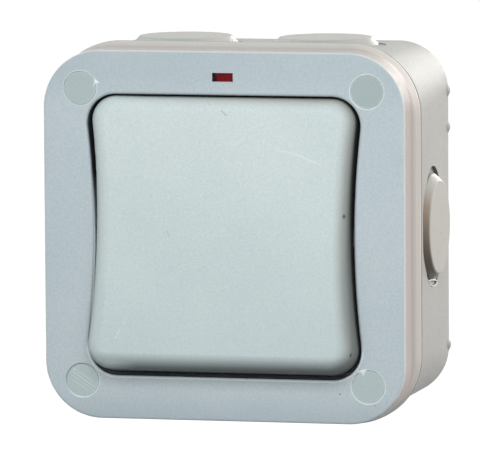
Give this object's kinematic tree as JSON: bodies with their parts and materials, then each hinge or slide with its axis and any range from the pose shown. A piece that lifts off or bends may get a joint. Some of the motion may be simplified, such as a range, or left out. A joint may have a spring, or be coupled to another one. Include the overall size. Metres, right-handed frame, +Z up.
{
  "type": "outdoor weatherproof switch",
  "caption": "Surface-mounted weatherproof rocker switch: a sealed square box with a large bow-tie rocker, an indicator window and plugged conduit entries.",
  "frame": {"origin": "middle of the box's back, on the wall plane", "axes": "+X to the right, +Z up, +Y into the wall; the rocker faces -Y"},
  "size_m": [0.0922, 0.0624, 0.0922],
  "materials": {
    "cover_plastic": "fine moulded grain",
    "rocker_plastic": "fine moulded grain",
    "box_plastic": "fine moulded grain",
    "cap_plastic": "smooth",
    "plug_plastic": "smooth",
    "gasket_rubber": "matt",
    "seal_rubber": "matt",
    "unit_plastic": "satin",
    "dolly_plastic": "satin",
    "red_lens": "clear red",
    "lamp_glass": "clear",
    "brass": "machined",
    "copper_alloy": "stamped",
    "silver_contact": "satin",
    "steel": "plated",
    "spring_steel": "drawn"
  },
  "bodies": {
    "housing": {"back_box": "box_plastic", "front_cover": "cover_plastic", "screw_cap_top_left": "cap_plastic", "screw_cap_top_right": "cap_plastic", "screw_cap_bottom_left": "cap_plastic", "screw_cap_bottom_right": "cap_plastic", "plug_top_left": "plug_plastic", "plug_top_right": "plug_plastic", "plug_left": "plug_plastic", "plug_right": "plug_plastic", "plug_bottom_left": "plug_plastic", "plug_bottom_right": "plug_plastic", "box_gasket": "gasket_rubber", "rocker_seal": "seal_rubber", "cover_screws": "steel", "unit_screws": "steel", "clamp_screws": "steel", "earth_screw": "steel", "indicator_lens": "red_lens", "indicator_lamp": "lamp_glass", "switch_frame": "unit_plastic", "switch_base": "unit_plastic", "earth_terminal": "brass", "fixed_tip_live": "silver_contact", "load_terminal_live": "brass", "feed_terminal_live": "brass", "fixed_tip_neutral": "silver_contact", "load_terminal_neutral": "brass", "feed_terminal_neutral": "brass"},
    "rocker": {"rocker": "rocker_plastic"},
    "dolly": {"dolly": "dolly_plastic", "plunger_spring_live": "spring_steel", "plunger_spring_neutral": "spring_steel"},
    "plunger_live": {"plunger_live": "dolly_plastic"},
    "contact_live": {"contact_arm_live": "copper_alloy", "moving_tip_live": "silver_contact"},
    "plunger_neutral": {"plunger_neutral": "dolly_plastic"},
    "contact_neutral": {"contact_arm_neutral": "copper_alloy", "moving_tip_neutral": "silver_contact"}
  },
  "joints": [
    {"name": "rocker_tilt", "type": "hinge", "parent": "housing", "child": "rocker", "pos_m": [0, -0.0477, 0], "axis": [1, 0, 0], "range_deg": [0, 12], "deforming": ["rocker_seal"]},
    {"name": "dolly_tilt", "type": "hinge", "parent": "housing", "child": "dolly", "pos_m": [0, -0.0383, 0], "axis": [1, 0, 0], "range_deg": [0, 12], "deforming": ["rocker_seal"]},
    {"name": "plunger_live_slide", "type": "slide", "parent": "dolly", "child": "plunger_live", "axis": [0, -0.9945, 0.1045], "range_m": [0, 0.0008], "stiffness_N_per_m": 600, "deforming": ["plunger_spring_live"]},
    {"name": "contact_live_rock", "type": "hinge", "parent": "housing", "child": "contact_live", "pos_m": [0.0065, -0.0229, 0], "axis": [1, 0, 0], "range_deg": [-14, 0]},
    {"name": "plunger_neutral_slide", "type": "slide", "parent": "dolly", "child": "plunger_neutral", "axis": [0, -0.9945, 0.1045], "range_m": [0, 0.0008], "stiffness_N_per_m": 600, "deforming": ["plunger_spring_neutral"]},
    {"name": "contact_neutral_rock", "type": "hinge", "parent": "housing", "child": "contact_neutral", "pos_m": [-0.0065, -0.0229, 0], "axis": [1, 0, 0], "range_deg": [-14, 0]}
  ],
  "couplings": [
    {"joint": "dolly_tilt", "follows": "rocker_tilt", "ratio": 1},
    {"joint": "contact_live_rock", "follows": "rocker_tilt", "ratio": -1.1666},
    {"joint": "contact_neutral_rock", "follows": "rocker_tilt", "ratio": -1.1666}
  ]
}
